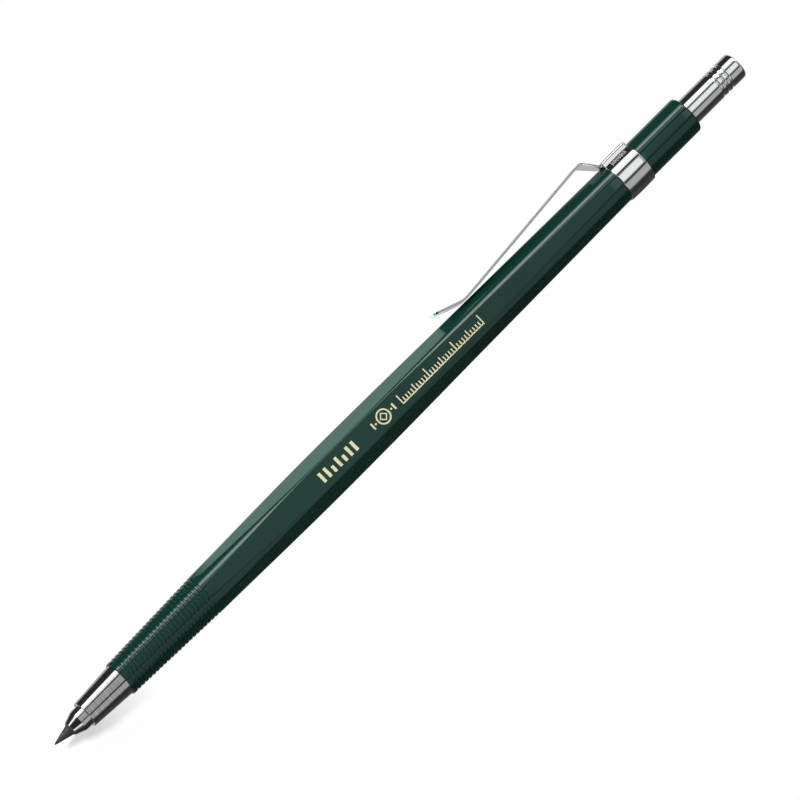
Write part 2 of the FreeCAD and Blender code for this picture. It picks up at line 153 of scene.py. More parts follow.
def turn_piece(name, points, segments=192):
    """Turns a closed outline of (x, radius) points, in millimetres, about the pencil's axis."""
    bpy.ops.object.select_all(action="DESELECT")
    bpy.ops.mesh.primitive_plane_add(size=MM)
    piece = bpy.context.object
    piece.name = name
    bpy.ops.object.mode_set(mode="EDIT")
    bpy.ops.mesh.select_all(action="SELECT")
    bpy.ops.mesh.merge(type="CENTER")
    first = points[0]
    bpy.ops.transform.translate(value=(first[0] * MM, first[1] * MM, 0))
    for start, end in zip(points, points[1:] + points[:1]):
        step = ((end[0] - start[0]) * MM, (end[1] - start[1]) * MM, 0)
        bpy.ops.mesh.extrude_vertices_move(TRANSFORM_OT_translate={"value": step})
    bpy.ops.mesh.select_all(action="SELECT")
    bpy.ops.mesh.remove_doubles(threshold=MERGE_DISTANCE * MM)
    bpy.ops.mesh.spin(steps=segments, angle=2 * math.pi, center=(0, 0, 0), axis=(1, 0, 0))
    bpy.ops.mesh.select_all(action="SELECT")
    bpy.ops.mesh.remove_doubles(threshold=MERGE_DISTANCE * MM)
    bpy.ops.mesh.normals_make_consistent(inside=False)
    bpy.ops.object.mode_set(mode="OBJECT")
    bpy.ops.object.transform_apply(location=True, rotation=True, scale=True)
    bpy.ops.object.shade_smooth_by_angle(angle=math.radians(30))
    return piece


def grip_radius(x):
    share = (x - barrel_front) / GRIP_LENGTH
    return GRIP_FRONT_RADIUS + share * (GRIP_REAR_RADIUS - GRIP_FRONT_RADIUS)


def groove_points(x, radius, width, depth):
    """The outline of one round groove at x, in a surface of this radius, front to back."""
    arc_radius = (width ** 2 / 4 + depth ** 2) / (2 * depth)
    half_sweep = math.asin(width / 2 / arc_radius)
    points = []
    for step in range(GROOVE_STEPS + 1):
        angle = half_sweep * (2 * step / GROOVE_STEPS - 1)
        height = radius - depth + arc_radius * (1 - math.cos(angle))
        points.append(Vector((x + arc_radius * math.sin(angle), height)))
    return points


def grip_points():
    """The ribbed grip's outline, front to back: flat-topped ribs between round grooves."""
    margin = (GRIP_LENGTH - (GROOVE_COUNT - 1) * GROOVE_PITCH) / 2
    points = []
    for groove in range(GROOVE_COUNT):
        x = barrel_front + margin + groove * GROOVE_PITCH
        points += groove_points(x, grip_radius(x), GROOVE_WIDTH, GROOVE_DEPTH)
    return points


def smooth_curve(knots, count):
    """Points of a smooth curve through (x, radius) knots, evenly spaced in x."""
    slopes = []
    for index in range(len(knots)):
        low = knots[max(index - 1, 0)]
        high = knots[min(index + 1, len(knots) - 1)]
        slopes.append((high[1] - low[1]) / (high[0] - low[0]))
    points = []
    for index in range(count + 1):
        x = knots[0][0] + (knots[-1][0] - knots[0][0]) * index / count
        span = 0
        while span < len(knots) - 2 and x > knots[span + 1][0]:
            span += 1
        (x0, y0), (x1, y1) = knots[span], knots[span + 1]
        width = x1 - x0
        t = (x - x0) / width
        y = (
            y0 * (1 + 2 * t) * (1 - t) ** 2
            + slopes[span] * width * t * (1 - t) ** 2
            + y1 * t * t * (3 - 2 * t)
            - slopes[span + 1] * width * t * t * (1 - t)
        )
        points.append(Vector((x, y)))
    return points


crown_points = smooth_curve([
    (grip_rear, GRIP_REAR_RADIUS),
    (grip_rear + CROWN_FROM_GRIP, CROWN_RADIUS),
    (ring_front - WAIST_FROM_RING, WAIST_RADIUS),
    (ring_front, SHOULDER_RADIUS),
], CROWN_STEPS)
front_corners = rounded([
    (barrel_front, BORE_RADIUS, 0),
    (barrel_front, GRIP_FRONT_RADIUS, LIP_ROUNDING),
    (barrel_front + 1, grip_radius(barrel_front + 1), 0),
])
rear_corners = rounded([
    (ring_front, SPIGOT_RADIUS, 0),
    (barrel_rear, SPIGOT_RADIUS, SPIGOT_ROUNDING),
    (barrel_rear, BORE_RADIUS, 0),
])
barrel_outline = front_corners[:-1] + grip_points() + crown_points + rear_corners
barrel_piece = turn_piece("barrel_moulding", barrel_outline, BARREL_SEGMENTS)

# Only the outside between the grip and the ring is pressed flat.
for vertex in barrel_piece.data.vertices:
    x = vertex.co.x / MM
    radius = math.hypot(vertex.co.y, vertex.co.z) / MM
    if x <= grip_rear + 0.01 or x > ring_front + 0.001 or radius < BORE_RADIUS + 0.1:
        continue
    share = (x - grip_rear) / (ring_front - grip_rear)
    apothem = FACET_APOTHEM_FRONT + share * (FACET_APOTHEM_REAR - FACET_APOTHEM_FRONT)
    angle = math.atan2(vertex.co.y, vertex.co.z)
    limits = [radius]
    for flat in range(FLATS):
        facing = math.cos(angle - flat * 2 * math.pi / FLATS)
        if facing > 0.5:
            limits.append(apothem / facing)
    lowest = min(limits)
    total = sum(math.exp((lowest - limit) / FACET_SOFTNESS) for limit in limits)
    softened = lowest - FACET_SOFTNESS * math.log(total)
    vertex.co.y *= softened / radius
    vertex.co.z *= softened / radius


def start_material(name):
    """A new node material with its shader and the object's own coordinates."""
    material = bpy.data.materials.new(name)
    material.use_nodes = True
    tree = material.node_tree
    shader = tree.nodes["Principled BSDF"]
    place = tree.nodes.new("ShaderNodeTexCoord").outputs["Object"]
    return material, tree, shader, place


def noise(tree, place, scale, detail=3, stretch=(1, 1, 1)):
    """A noise pattern, its scale in waves per metre, stretched along the axes."""
    mapping = tree.nodes.new("ShaderNodeMapping")
    mapping.inputs["Scale"].default_value = stretch
    tree.links.new(place, mapping.inputs["Vector"])
    texture = tree.nodes.new("ShaderNodeTexNoise")
    texture.inputs["Scale"].default_value = scale
    texture.inputs["Detail"].default_value = detail
    tree.links.new(mapping.outputs["Vector"], texture.inputs["Vector"])
    return texture.outputs["Fac"]


def spread(tree, value, low, high):
    """Maps a noise pattern's middle range, 0.3 to 0.7, onto low to high."""
    node = tree.nodes.new("ShaderNodeMapRange")
    node.inputs["From Min"].default_value = 0.3
    node.inputs["From Max"].default_value = 0.7
    node.inputs["To Min"].default_value = low
    node.inputs["To Max"].default_value = high
    tree.links.new(value, node.inputs["Value"])
    return node.outputs["Result"]


def blend_colours(tree, value, dark, light):
    """Blends two fixed colours by a pattern, from dark at 0 to light at 1."""
    node = tree.nodes.new("ShaderNodeMix")
    node.data_type = "RGBA"
    node.inputs["A"].default_value = (*dark, 1)
    node.inputs["B"].default_value = (*light, 1)
    tree.links.new(value, node.inputs["Factor"])
    return node.outputs["Result"]


def bump(tree, shader, value, height):
    """Raises the pattern by this height, in metres."""
    node = tree.nodes.new("ShaderNodeBump")
    node.inputs["Strength"].default_value = 1
    node.inputs["Distance"].default_value = height
    tree.links.new(value, node.inputs["Height"])
    tree.links.new(node.outputs["Normal"], shader.inputs["Normal"])


def moulded_plastic(name, dark, light, roughness, coat):
    """Gloss plastic: a faint flow pattern, handling haze and the last trace of mould texture."""
    material, tree, shader, place = start_material(name)
    flow = noise(tree, place, 90, 2, (0.3, 1, 1))
    haze = noise(tree, place, 420, 4, (0.4, 1, 1))
    skin = noise(tree, place, 2600, 2)
    shade = blend_colours(tree, spread(tree, flow, 0, 1), dark, light)
    tree.links.new(shade, shader.inputs["Base Color"])
    tree.links.new(spread(tree, haze, roughness * 0.8, roughness * 1.35), shader.inputs["Roughness"])
    bump(tree, shader, skin, 0.0006 * MM)
    shader.inputs["IOR"].default_value = 1.5
    shader.inputs["Coat Weight"].default_value = coat
    shader.inputs["Coat Roughness"].default_value = 0.04
    return material


green_plastic = moulded_plastic(
    "green_gloss_plastic", (0.0025, 0.0300, 0.0225), (0.0034, 0.0360, 0.0270), roughness=0.07,
    coat=0.15
)
barrel_piece.data.materials.append(green_plastic)
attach(barrel_piece, "barrel")
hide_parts("barrel")


# Foil print.
# Gold foil stamped hot on the printed flat: bars for the lead size, a plain lozenge in a ring,
# and a small drafting scale. It is about a hundredth of a millimetre thick.

FOIL_LIFT = 0.004
FOIL_THICKNESS = 0.012
BARS_START = 56.3
BAR_HEIGHTS = (1.7, 1.7, 1.1, 1.7, 1.1, 1.7, 1.7)
BAR_WIDTH = 0.52
BAR_PITCH = 1.15
BADGE_X = 69.8
BADGE_RADIUS = 1.22
BADGE_LINE = 0.24
BADGE_INSET = 1.9 * BADGE_LINE
RING_CORNERS = 48
LOZENGE_CORNERS = 4
DOT_FROM_BADGE = 1.66
DASH_FROM_BADGE = 2.22
MARK_WIDTH = 0.30
DASH_HEIGHT = 1.10
SCALE_START = 73.4
SCALE_PITCH = 0.58
SCALE_COUNT = 31
SCALE_BASE = -0.72
TICK_WIDTH = 0.19
TICK_HEIGHTS = (1.62, 0.8, 0.8, 0.8, 0.8, 1.2, 0.8, 0.8, 0.8, 0.8)


def foil_patch(x, y, length, width):
    """One rectangle of foil, lying on the z = 0 plane, its centre at x, y in millimetres."""
    bpy.ops.mesh.primitive_plane_add(size=MM, location=(x * MM, y * MM, 0))
    patch = bpy.context.object
    patch.scale = (length, width, 1)
    bpy.ops.object.transform_apply(location=True, rotation=True, scale=True)
    return patch


def foil_ring(x, radius, line, corners):
    """A ring of foil round x, with this many corners."""
    bpy.ops.mesh.primitive_circle_add(vertices=corners, radius=radius * MM, location=(x * MM, 0, 0))
    patch = bpy.context.object
    bpy.ops.object.mode_set(mode="EDIT")
    bpy.ops.mesh.select_all(action="SELECT")
    bpy.ops.mesh.extrude_edges_move()
    shrink = (radius - line) / radius
    bpy.ops.transform.resize(value=(shrink, shrink, 1), center_override=(x * MM, 0, 0))
    bpy.ops.object.mode_set(mode="OBJECT")
    bpy.ops.object.transform_apply(location=True, rotation=True, scale=True)
    return patch


def join_pieces(name, patches):
    """Joins the patches into one piece."""
    bpy.ops.object.select_all(action="DESELECT")
    for patch in patches:
        patch.select_set(True)
    bpy.context.view_layer.objects.active = patches[0]
    bpy.ops.object.join()
    patches[0].name = name
    return patches[0]


def apply_modifier(piece, name, kind, **settings):
    """Adds one modifier to the piece, and applies it."""
    bpy.ops.object.select_all(action="DESELECT")
    bpy.context.view_layer.objects.active = piece
    piece.select_set(True)
    modifier = piece.modifiers.new(name, kind)
    for setting, value in settings.items():
        setattr(modifier, setting, value)
    bpy.ops.object.modifier_apply(modifier=modifier.name)


foil_patches = []
for index, height in enumerate(BAR_HEIGHTS):
    x = BARS_START + BAR_WIDTH / 2 + index * BAR_PITCH
    y = (height - max(BAR_HEIGHTS)) / 2
    foil_patches.append(foil_patch(x, y, BAR_WIDTH, height))
foil_patches.append(foil_ring(BADGE_X, BADGE_RADIUS, BADGE_LINE, RING_CORNERS))
foil_patches.append(foil_ring(BADGE_X, BADGE_RADIUS - BADGE_INSET, BADGE_LINE, LOZENGE_CORNERS))
for side in (-1, 1):
    foil_patches.append(foil_patch(BADGE_X + side * DOT_FROM_BADGE, 0, MARK_WIDTH, MARK_WIDTH))
    foil_patches.append(foil_patch(BADGE_X + side * DASH_FROM_BADGE, 0, MARK_WIDTH, DASH_HEIGHT))
scale_length = (SCALE_COUNT - 1) * SCALE_PITCH
foil_patches.append(foil_patch(
    SCALE_START + scale_length / 2, SCALE_BASE, scale_length + TICK_WIDTH, TICK_WIDTH
))
for index in range(SCALE_COUNT):
    height = TICK_HEIGHTS[index % len(TICK_HEIGHTS)]
    foil_patches.append(foil_patch(
        SCALE_START + index * SCALE_PITCH, SCALE_BASE + height / 2, TICK_WIDTH, height
    ))
foil_piece = join_pieces("foil_print", foil_patches)
for vertex in foil_piece.data.vertices:
    share = (vertex.co.x / MM - grip_rear) / (ring_front - grip_rear)
    apothem = FACET_APOTHEM_FRONT + share * (FACET_APOTHEM_REAR - FACET_APOTHEM_FRONT)
    vertex.co.z = (apothem + FOIL_LIFT) * MM
bpy.ops.object.mode_set(mode="EDIT")
bpy.ops.mesh.select_all(action="SELECT")
bpy.ops.mesh.normals_make_consistent(inside=False)
bpy.ops.object.mode_set(mode="OBJECT")
for face in foil_piece.data.polygons:
    if face.normal.z < 0:
        face.flip()
apply_modifier(foil_piece, "foil", "SOLIDIFY", thickness=FOIL_THICKNESS * MM, offset=1)


def grained_metal(name, dark, light, roughness, stretch, lines, height, metallic=1):
    """Metal or foil with a fine directional grain, a little colour drift and uneven gloss."""
    material, tree, shader, place = start_material(name)
    drift = noise(tree, place, 160, 3)
    grain = noise(tree, place, lines, 3, stretch)
    wear = noise(tree, place, 700, 4)
    shade = blend_colours(tree, spread(tree, drift, 0, 1), dark, light)
    tree.links.new(shade, shader.inputs["Base Color"])
    tree.links.new(spread(tree, wear, roughness * 0.75, roughness * 1.4), shader.inputs["Roughness"])
    bump(tree, shader, grain, height * MM)
    shader.inputs["Metallic"].default_value = metallic
    return material


def cover(node_names, material):
    """Gives these CAD nodes the material, in place of their own."""
    for node_name in node_names:
        nodes[node_name].data.materials.clear()
        nodes[node_name].data.materials.append(material)


gold_foil = grained_metal(
    "gold_foil", (0.94, 0.88, 0.50), (1.0, 0.97, 0.64), 0.42, (1, 1, 1), 5200, 0.0008, 0.2
)
foil_piece.data.materials.append(gold_foil)
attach(foil_piece, "barrel")


# Nose sleeve.
# A turned brass cone, chromed and polished, screwed into the barrel's front end.
# Its mouth has a rounded rim, and inside is the cone that closes the jaws.

SLEEVE_MOUTH_RADIUS = 2.25
SLEEVE_SHOULDER_RADIUS = 2.70
SLEEVE_RIM = 0.16
SLEEVE_EDGE = 0.05
SEAT_MOUTH_RADIUS = 1.85
SEAT_BOTTOM_RADIUS = 1.55
SEAT_DEPTH = 1.5
SEAT_RELIEF = 0.6
SLEEVE_SPIGOT_RADIUS = 2.20
SLEEVE_BORE_RADIUS = 1.75
SEAT_EDGE = 0.06
TURNED_SEGMENTS = 160

sleeve_low, sleeve_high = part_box("nose_sleeve")
mouth = sleeve_low.x / MM
sleeve_rear = sleeve_high.x / MM
sleeve_piece = turn_piece("nose_cone", rounded([
    (mouth, SEAT_MOUTH_RADIUS, SEAT_EDGE),
    (mouth, SLEEVE_MOUTH_RADIUS, SLEEVE_RIM),
    (barrel_front, SLEEVE_SHOULDER_RADIUS, SLEEVE_EDGE),
    (barrel_front, SLEEVE_SPIGOT_RADIUS, 0),
    (sleeve_rear, SLEEVE_SPIGOT_RADIUS, 0),
    (sleeve_rear, SLEEVE_BORE_RADIUS, 0),
    (mouth + SEAT_DEPTH + SEAT_RELIEF, SLEEVE_BORE_RADIUS, 0),
    (mouth + SEAT_DEPTH, SEAT_BOTTOM_RADIUS, 0),
]), TURNED_SEGMENTS)


def chrome_plate(name, colour, roughness, stretch, height, bloom_depth=0.06, line_depth=0):
    """Bright plating: faint polishing lines, a soft bloom and fine wear in the gloss.

    Where line_depth is given, the lines darken the plating in place of the bloom.
    """
    material, tree, shader, place = start_material(name)
    bloom = noise(tree, place, 240, 3)
    wear = noise(tree, place, 1100, 4)
    lines = noise(tree, place, 3600, 2, stretch)
    darker = tuple(channel * (1 - (line_depth or bloom_depth)) for channel in colour)
    mottle = lines if line_depth else bloom
    shade = blend_colours(tree, spread(tree, mottle, 0, 1), darker, colour)
    tree.links.new(shade, shader.inputs["Base Color"])
    tree.links.new(spread(tree, wear, roughness * 0.6, roughness * 1.6), shader.inputs["Roughness"])
    bump(tree, shader, lines, height * MM)
    shader.inputs["Metallic"].default_value = 1
    return material


turned_chrome = chrome_plate("turned_chrome", (0.86, 0.87, 0.88), 0.05, (1, 0.06, 0.06), 0.00035)
nose_chrome = chrome_plate(
    "nose_chrome", (0.90, 0.91, 0.92), 0.06, (1, 0.02, 0.02), 0.0011, line_depth=0.4
)
sleeve_piece.data.materials.append(nose_chrome)
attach(sleeve_piece, "barrel")
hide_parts("nose_sleeve")


# Collet jaws.
# Three spring jaws slit from one brass body, turned to a cone and bright plated.
# They close on the lead as the sleeve's seat presses on their heads.

jaw_chrome = chrome_plate("jaw_plate", (0.80, 0.81, 0.83), 0.09, (1, 0.1, 0.1), 0.0006)
cover(("collet_jaw_1", "collet_jaw_2", "collet_jaw_3"), jaw_chrome)


# Lead.
# A 2 mm rod of fired graphite and clay, ground to a point on the cap's pointer.
# The blades leave shallow flats and fine scratches round the cone.

LEAD_RADIUS = 1.0
LEAD_CONE = 4.0
LEAD_TIP_RADIUS = 0.15
LEAD_FLATS = 7
LEAD_FLAT_DEPTH = 0.022
LEAD_FLAT_TWIST = 1.3
LEAD_FADE_LENGTH = 0.6
LEAD_SEGMENTS = 84
TIP_STEPS = 8
CONE_STEPS = 24

lead_low, lead_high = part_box("lead")
lead_slope = math.atan2(LEAD_RADIUS, LEAD_CONE)
cone_start = LEAD_TIP_RADIUS * (1 - math.sin(lead_slope))
cone_radius = LEAD_TIP_RADIUS * math.cos(lead_slope)
lead_shoulder = cone_start + (LEAD_RADIUS - cone_radius) / math.tan(lead_slope)
lead_outline = []
for step in range(TIP_STEPS + 1):
    angle = (math.pi / 2 - lead_slope) * step / TIP_STEPS
    lead_outline.append(Vector((
        LEAD_TIP_RADIUS * (1 - math.cos(angle)), LEAD_TIP_RADIUS * math.sin(angle)
    )))
for step in range(1, CONE_STEPS + 1):
    share = step / CONE_STEPS
    lead_outline.append(Vector((
        cone_start + share * (lead_shoulder - cone_start),
        cone_radius + share * (LEAD_RADIUS - cone_radius),
    )))
lead_outline += [
    Vector((lead_high.x / MM, LEAD_RADIUS)),
    Vector((lead_high.x / MM, 0)),
]
lead_piece = turn_piece("lead_rod", lead_outline, LEAD_SEGMENTS)
for vertex in lead_piece.data.vertices:
    x = vertex.co.x / MM
    if x > lead_shoulder + 0.01:
        continue
    turn = math.atan2(vertex.co.z, vertex.co.y)
    flat = 0.5 - 0.5 * math.cos(LEAD_FLATS * turn + LEAD_FLAT_TWIST * x)
    fade = min(1, (lead_shoulder - x) / LEAD_FADE_LENGTH + 0.2)
    share = 1 - LEAD_FLAT_DEPTH * flat * fade
    vertex.co.y *= share
    vertex.co.z *= share

graphite, graphite_tree, graphite_shader, graphite_place = start_material("graphite")
graphite_cloud = noise(graphite_tree, graphite_place, 900, 4)
graphite_scratch = noise(graphite_tree, graphite_place, 3800, 3, (1, 0.2, 0.2))
graphite_shade = blend_colours(
    graphite_tree, spread(graphite_tree, graphite_cloud, 0, 1),
    (0.035, 0.036, 0.040), (0.075, 0.077, 0.084)
)
graphite_tree.links.new(graphite_shade, graphite_shader.inputs["Base Color"])
graphite_tree.links.new(
    spread(graphite_tree, graphite_scratch, 0.34, 0.58), graphite_shader.inputs["Roughness"]
)
bump(graphite_tree, graphite_shader, graphite_scratch, 0.006 * MM)
graphite_shader.inputs["Metallic"].default_value = 0.35
lead_piece.data.materials.append(graphite)
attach(lead_piece, "lead")
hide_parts("lead")


# Clip ring.
# A chromed band pressed on behind the barrel's shoulder, raised into a saddle that traps the clip.
# A row of fine ticks is etched in its flank.

RING_EDGE_RADIUS = 3.44
RING_MIDDLE_RADIUS = 3.50
RING_SEAT_RADIUS = 3.20
RING_ROUNDING = 0.12
CLIP_THICKNESS = 0.34
TONGUE_WIDTH = 3.0
TONGUE_LENGTH = 2.0
TONGUE_GAP = 0.08
TONGUE_BOTTOM = 3.27
SADDLE_WALL = 0.18
SADDLE_ROUNDING = 0.30
BAND_STEPS = 12
BAND_SEGMENTS = 360
SADDLE_REACH = math.radians(60)

ring_middle = (ring_front + ring_rear) / 2
band_arc = []
for step in range(BAND_STEPS + 1):
    share = 2 * step / BAND_STEPS - 1
    band_arc.append(Vector((
        ring_middle + share * (ring_rear - ring_front - 2 * RING_ROUNDING) / 2,
        RING_MIDDLE_RADIUS - (RING_MIDDLE_RADIUS - RING_EDGE_RADIUS) * share * share,
    )))
front_edge = rounded([
    (ring_front, RING_SEAT_RADIUS, 0),
    (ring_front, RING_EDGE_RADIUS, RING_ROUNDING),
    (ring_middle, RING_EDGE_RADIUS, 0),
])
rear_edge = rounded([
    (ring_middle, RING_EDGE_RADIUS, 0),
    (ring_rear, RING_EDGE_RADIUS, RING_ROUNDING),
    (ring_rear, RING_SEAT_RADIUS, 0),
])
channel_end = ring_front + TONGUE_LENGTH + TONGUE_GAP
channel_floor = [
    Vector((channel_end + 0.01, RING_SEAT_RADIUS)),
    Vector((channel_end, RING_SEAT_RADIUS)),
]
ring_piece = turn_piece(
    "clip_band", front_edge[:-1] + band_arc[1:-1] + rear_edge[1:] + channel_floor, BAND_SEGMENTS
)

channel_top = TONGUE_BOTTOM + CLIP_THICKNESS + TONGUE_GAP
channel_half = TONGUE_WIDTH / 2 + TONGUE_GAP
saddle_top = channel_top + SADDLE_WALL
saddle_half = channel_half + SADDLE_WALL + SADDLE_ROUNDING / 2


def box_radius(turn, half_width, top, rounding):
    """How far out a box over the clip reaches in this direction, with its two corners rounded."""
    side = half_width / max(abs(math.sin(turn)), 1e-6)
    reach = min(side, top / max(math.cos(turn), 1e-6))
    corner = Vector((half_width - rounding, top - rounding))
    ahead = Vector((abs(math.sin(turn)), math.cos(turn)))
    middle = ahead.dot(corner)
    gap = rounding ** 2 - (corner.length_squared - middle ** 2)
    if rounding and gap > 0:
        touch = ahead * (middle + math.sqrt(gap))
        if touch.x > corner.x and touch.y > corner.y:
            reach = min(reach, touch.length)
    return reach


# The band's outside is raised into the saddle, and its bore into the channel for the tongue.
for vertex in ring_piece.data.vertices:
    turn = math.atan2(vertex.co.z, vertex.co.y)
    radius = math.hypot(vertex.co.y, vertex.co.z) / MM
    if abs(turn) > SADDLE_REACH:
        continue
    if radius > RING_SEAT_RADIUS + 0.01:
        box = box_radius(turn, saddle_half, saddle_top, SADDLE_ROUNDING)
        wanted = max(radius, box - (RING_MIDDLE_RADIUS - radius))
    elif vertex.co.x / MM < channel_end + 0.005:
        wanted = max(radius, box_radius(turn, channel_half, channel_top, 0))
    else:
        continue
    vertex.co.y *= wanted / radius
    vertex.co.z *= wanted / radius
bpy.ops.object.select_all(action="DESELECT")
ring_piece.select_set(True)
bpy.context.view_layer.objects.active = ring_piece
bpy.ops.object.shade_smooth_by_angle(angle=math.radians(24))
ring_piece.data.materials.clear()
ring_piece.data.materials.append(turned_chrome)
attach(ring_piece, "barrel")
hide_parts("clip_ring")

ETCH_ANGLE = math.radians(43)
ETCH_COUNT = 15
ETCH_PITCH = 0.20
ETCH_LINE = 0.09
ETCH_HEIGHTS = (0.95, 0.6, 0.6, 0.8, 0.6)
ETCH_LIFT = 0.003
ETCH_THICKNESS = 0.006

# The ticks are cut flat, then wrapped round the band's flank.
etched = []
for index in range(ETCH_COUNT):
    x = ring_middle + (index - (ETCH_COUNT - 1) / 2) * ETCH_PITCH
    height = ETCH_HEIGHTS[index % len(ETCH_HEIGHTS)]
    etched.append(foil_patch(x, 0, ETCH_LINE, height))
etch_piece = join_pieces("etched_ticks", etched)
apply_modifier(
    etch_piece, "finer", "SUBSURF", subdivision_type="SIMPLE", levels=2, render_levels=2
)
for vertex in etch_piece.data.vertices:
    share = (vertex.co.x / MM - ring_middle) / ((ring_rear - ring_front) / 2 - RING_ROUNDING)
    radius = RING_MIDDLE_RADIUS - (RING_MIDDLE_RADIUS - RING_EDGE_RADIUS) * share * share + ETCH_LIFT
    angle = ETCH_ANGLE - vertex.co.y / MM / radius
    vertex.co.y = radius * math.cos(angle) * MM
    vertex.co.z = radius * math.sin(angle) * MM
for face in etch_piece.data.polygons:
    if face.normal.y < 0:
        face.flip()
apply_modifier(etch_piece, "depth", "SOLIDIFY", thickness=ETCH_THICKNESS * MM, offset=1)
etch_metal = grained_metal(
    "etched_metal", (0.62, 0.63, 0.64), (0.78, 0.79, 0.80), 0.5, (1, 1, 1), 4200, 0.002, 0.2
)
etch_piece.data.materials.append(etch_metal)
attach(etch_piece, "barrel")


# Pocket clip.
# One strip of spring steel, blanked, bent and chromed: a tongue under the saddle, a step,
# the long arm, and a tip turned up so that it slides over a pocket's edge.

CLIP_STEP_WIDTH = 4.8
CLIP_TIP_WIDTH = 3.4
CLIP_TIP_ROUNDING = 1.13
CLIP_ARM_TOP = 6.18
CLIP_STEP_START = 0.2
CLIP_STEP_RUN = 2.4
CLIP_CONTACT_REACH = 29.5
CLIP_TIP_REACH = 34.6
CLIP_TIP_LIFT = 1.75
CLIP_GAP = 0.03
CLIP_COLUMNS = 12
CLIP_ROOT_BEND = 0.5
CLIP_SHOULDER_BEND = 0.9
CLIP_TOE_BEND = 5.0
CLIP_EDGE = 0.07
TOE_STEPS = 14

barrel_rise = CLIP_CONTACT_REACH / WAIST_FROM_RING * (WAIST_RADIUS - SHOULDER_RADIUS)
contact_y = SHOULDER_RADIUS + barrel_rise
contact_y += CLIP_GAP + CLIP_THICKNESS / 2
tongue_middle = TONGUE_BOTTOM + CLIP_THICKNESS / 2
clip_tip_x = ring_front - CLIP_TIP_REACH
clip_corners = [
    (ring_front + TONGUE_LENGTH, tongue_middle, 0),
    (ring_front - CLIP_STEP_START, tongue_middle, CLIP_ROOT_BEND),
    (ring_front - CLIP_STEP_RUN, CLIP_ARM_TOP - CLIP_THICKNESS / 2, CLIP_SHOULDER_BEND),
    (ring_front - CLIP_CONTACT_REACH, contact_y, CLIP_TOE_BEND),
    (clip_tip_x, contact_y + CLIP_TIP_LIFT, 0),
]
clip_path = [clip_corners[0][:2]]
clip_path += rounded(clip_corners, math.radians(4))[1:-1]
slope_start = Vector(clip_path[-1])
slope_end = Vector(clip_corners[-1][:2])
for step in range(1, TOE_STEPS + 1):
    share = 1 - (1 - step / TOE_STEPS) ** 2
    clip_path.append(slope_start.lerp(slope_end, share))


def clip_half_width(x):
    """Half of the strip's width where it is this far along the pencil."""
    if x > ring_front - CLIP_STEP_START:
        half = TONGUE_WIDTH / 2
    elif x > ring_front - CLIP_STEP_RUN:
        share = (ring_front - CLIP_STEP_START - x) / (CLIP_STEP_RUN - CLIP_STEP_START)
        half = TONGUE_WIDTH / 2 + share * (CLIP_STEP_WIDTH - TONGUE_WIDTH) / 2
    else:
        share = (ring_front - CLIP_STEP_RUN - x) / (CLIP_TIP_REACH - CLIP_STEP_RUN)
        half = CLIP_STEP_WIDTH / 2 - share * (CLIP_STEP_WIDTH - CLIP_TIP_WIDTH) / 2
    from_tip = x - clip_tip_x
    if from_tip < CLIP_TIP_ROUNDING:
        reach = CLIP_TIP_ROUNDING - max(from_tip, 0)
        half -= CLIP_TIP_ROUNDING - math.sqrt(CLIP_TIP_ROUNDING ** 2 - reach ** 2)
    return half


bpy.ops.object.select_all(action="DESELECT")
bpy.ops.mesh.primitive_plane_add(size=MM)
clip_piece = bpy.context.object
clip_piece.name = "clip_strip"
bpy.ops.object.mode_set(mode="EDIT")
bpy.ops.mesh.select_all(action="SELECT")
bpy.ops.mesh.merge(type="CENTER")
bpy.ops.transform.translate(value=(clip_path[0][0] * MM, clip_path[0][1] * MM, -0.5 * MM))
for start, end in zip(clip_path, clip_path[1:]):
    step = ((end[0] - start[0]) * MM, (end[1] - start[1]) * MM, 0)
    bpy.ops.mesh.extrude_vertices_move(TRANSFORM_OT_translate={"value": step})
bpy.ops.mesh.select_all(action="SELECT")
for column in range(CLIP_COLUMNS):
    bpy.ops.mesh.extrude_edges_move(TRANSFORM_OT_translate={"value": (0, 0, MM / CLIP_COLUMNS)})
bpy.ops.mesh.select_all(action="SELECT")
bpy.ops.mesh.remove_doubles(threshold=MERGE_DISTANCE * MM)
bpy.ops.mesh.normals_make_consistent(inside=False)
bpy.ops.object.mode_set(mode="OBJECT")
bpy.ops.object.transform_apply(location=True, rotation=True, scale=True)
for vertex in clip_piece.data.vertices:
    vertex.co.z *= 2 * clip_half_width(vertex.co.x / MM)
apply_modifier(clip_piece, "thickness", "SOLIDIFY", thickness=CLIP_THICKNESS * MM, offset=0)
apply_modifier(
    clip_piece, "edges", "BEVEL", width=CLIP_EDGE * MM, segments=3, limit_method="ANGLE",
    angle_limit=math.radians(50)
)
bpy.ops.object.shade_smooth_by_angle(angle=math.radians(40))
strip_chrome = chrome_plate("strip_chrome", (0.84, 0.85, 0.87), 0.07, (0.08, 1, 1), 0.0005)
clip_piece.data.materials.append(strip_chrome)
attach(clip_piece, "clip")
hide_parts("pocket_clip")


# Push cap.
# A turned and chromed brass cap with three shallow grooves, pushed on the tube's end bush.
# It pulls off to reach the lead pointer moulded inside it.

CAP_RADIUS = 2.24
CAP_BORE_RADIUS = 1.92
CAP_END_ROUNDING = 0.45
CAP_MOUTH_ROUNDING = 0.10
CAP_END_WALL = 1.3
CAP_GROOVES = 3
CAP_GROOVE_PITCH = 0.95
CAP_GROOVE_FROM_END = 2.75
CAP_GROOVE_WIDTH = 0.50
CAP_GROOVE_DEPTH = 0.15
POINTER_RADIUS = 1.75
CAP_GROOVES_FRONT_FROM_END = 6.0
CAP_GROOVES_REAR_FROM_END = 1.0

